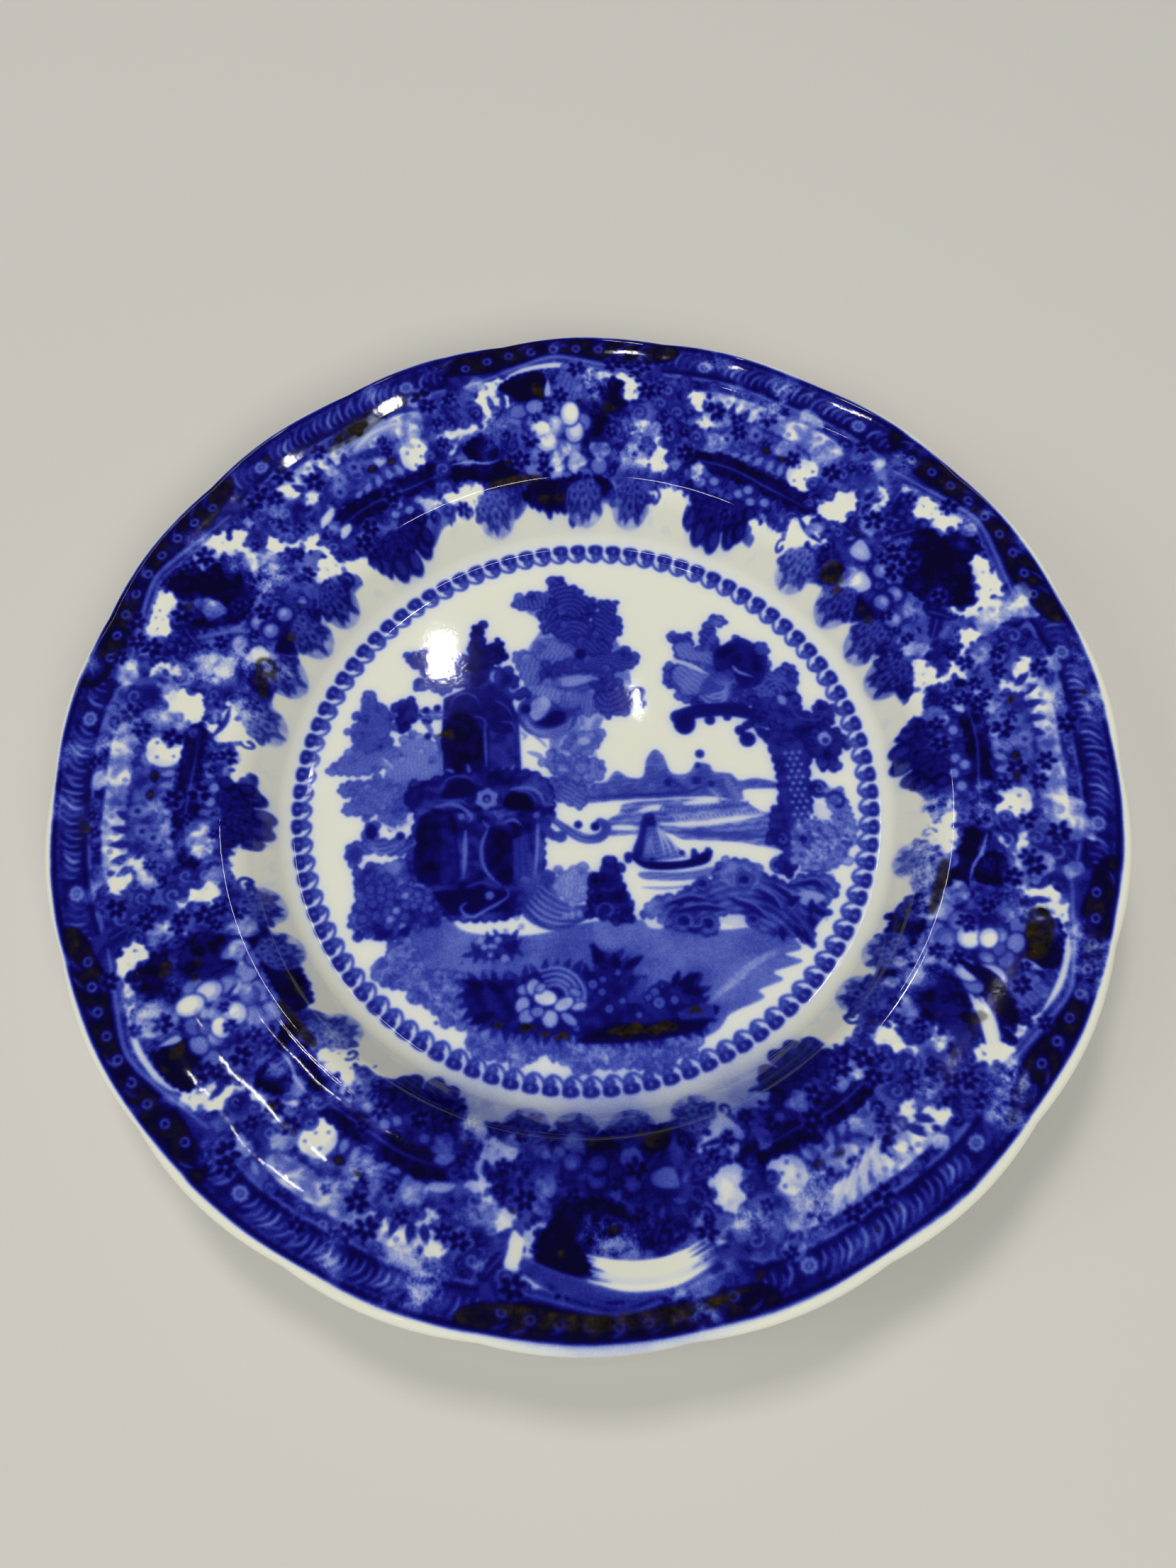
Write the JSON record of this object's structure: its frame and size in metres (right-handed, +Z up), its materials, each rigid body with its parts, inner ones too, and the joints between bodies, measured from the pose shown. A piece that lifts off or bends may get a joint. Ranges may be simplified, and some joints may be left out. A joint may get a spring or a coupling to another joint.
{
  "type": "dinner plate",
  "caption": "Round china dinner plate with a deep-walled flat well, a broad gently sloping scalloped border, a foot ring, and a flowing blue transfer print under clear glaze.",
  "frame": {"origin": "on the table, under the centre of the plate", "axes": "+Z up out of the well, +Y towards the top of the printed scene, +X to its right"},
  "size_m": [0.2484, 0.2488, 0.0262],
  "materials": {
    "biscuit": "matte fired earthenware",
    "cobalt_ink": "fired cobalt underglaze colour, with edges that have run",
    "clear_glaze": "high gloss clear glaze over a cream-white ground"
  },
  "bodies": {
    "root": {"biscuit_body": "biscuit", "centre_scene_print": "cobalt_ink", "bead_ring_print": "cobalt_ink", "border_print": "cobalt_ink", "glaze_coat": "clear_glaze", "foot_well_glaze": "clear_glaze"}
  },
  "joints": []
}
